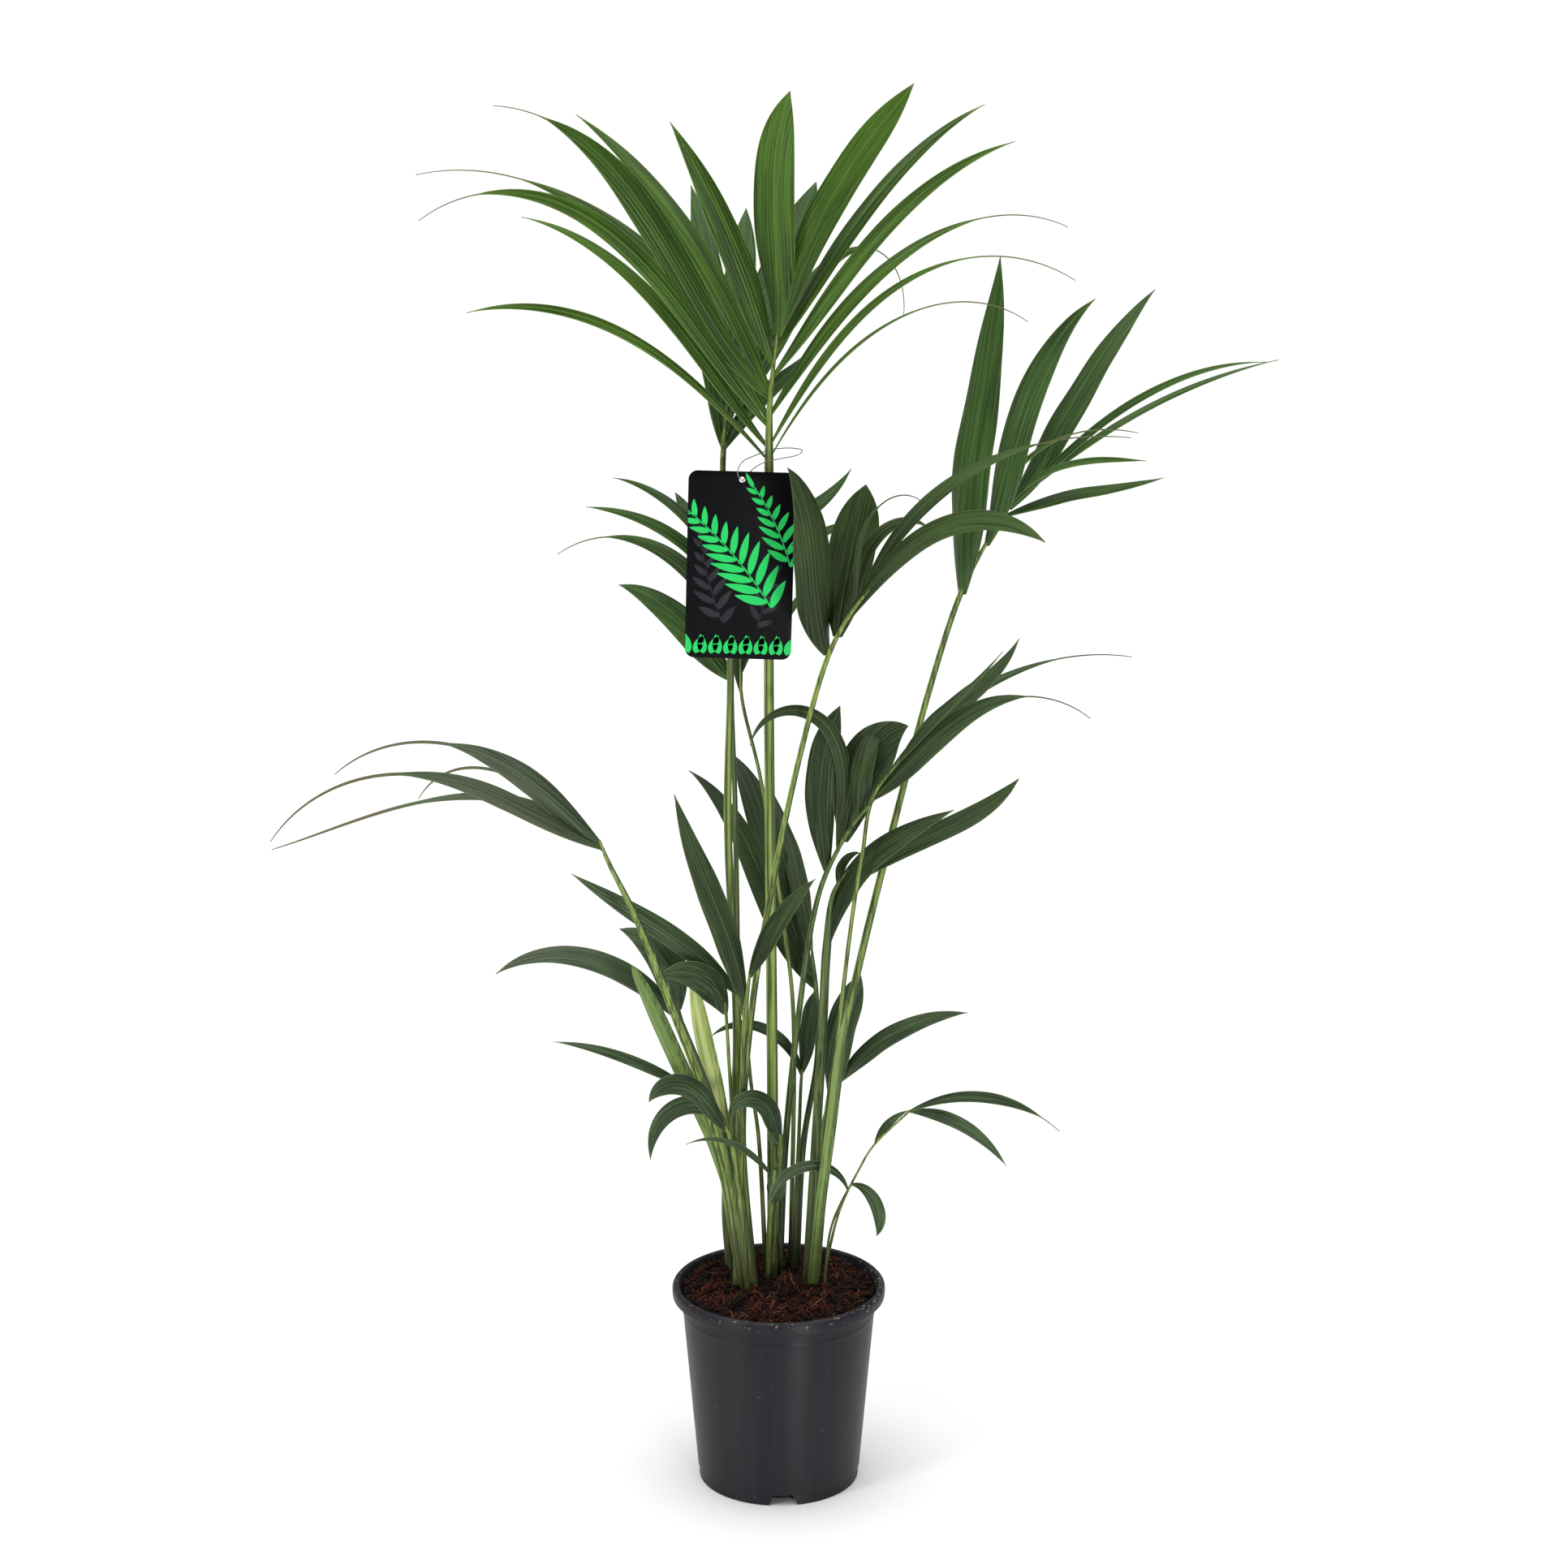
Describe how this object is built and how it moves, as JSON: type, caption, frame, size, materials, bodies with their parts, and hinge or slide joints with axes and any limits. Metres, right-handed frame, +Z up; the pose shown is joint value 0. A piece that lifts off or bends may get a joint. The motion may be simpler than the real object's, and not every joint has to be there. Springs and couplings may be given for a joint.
{
  "type": "potted kentia palm",
  "caption": "Feathery palm with slim upright stems, arching fronds of long leaflets, a hanging plant tag and a round nursery pot filled with soil.",
  "frame": {"origin": "centre of the pot's flat underside, where it stands on the floor", "axes": "+Z up along the pot's axis, -Y to the front where the tag's printed face looks, +X to the plant's right as seen from the front"},
  "size_m": [0.8731, 0.4992, 1.2381],
  "materials": {
    "pot": "near-black satin polypropylene with faint scuffs",
    "soil": "loose dark brown coir and peat mix with reddish fibres",
    "stem": "living green stems, greyer at the soil",
    "stalk": "smooth living leaf stalk, light ridge and darker edges",
    "sheath": "smooth light green leaf sheath with pale streaks",
    "frond": "living leaf, satin, fine parallel veins",
    "low_leaf": "darker living leaf, satin, fine parallel veins",
    "tag": "printed plastic card, black with green and leaf motifs",
    "string": "thin grey string"
  },
  "bodies": {
    "root": {"stalk_top": "stalk", "frond_top": "frond", "stalk_back": "stalk", "frond_back": "frond", "stalk_right": "stalk", "frond_right": "frond", "stalk_fore": "stalk", "frond_fore": "frond", "stalk_behind_tag": "stalk", "frond_behind_tag": "frond", "stalk_slip": "stalk", "frond_slip": "frond", "stalk_middle": "stalk", "frond_middle": "frond", "stalk_lance": "stalk", "frond_lance": "frond", "stalk_elbow": "stalk", "frond_elbow": "frond", "stalk_twin": "stalk", "frond_twin": "frond", "stalk_shade": "stalk", "frond_shade": "frond", "stalk_arch": "stalk", "frond_arch": "frond", "stalk_wing": "stalk", "frond_wing": "frond", "stalk_curl": "stalk", "frond_curl": "frond", "leaf_low_arch": "low_leaf", "leaf_low_left": "low_leaf", "leaf_pair": "low_leaf", "leaf_hook": "low_leaf", "leaf_fold": "low_leaf", "leaf_side": "low_leaf", "leaf_low_side": "low_leaf", "leaf_right_low": "low_leaf", "leaf_bud": "low_leaf", "sheath_outer": "sheath", "sheath_pale": "sheath", "sheath_bright": "sheath", "stem_left": "stem", "stem_mid_left": "stem", "stem_mid_right": "stem", "stem_right": "stem", "pot": "pot", "soil": "soil", "tag": "tag", "tag_string": "string"}
  },
  "joints": []
}
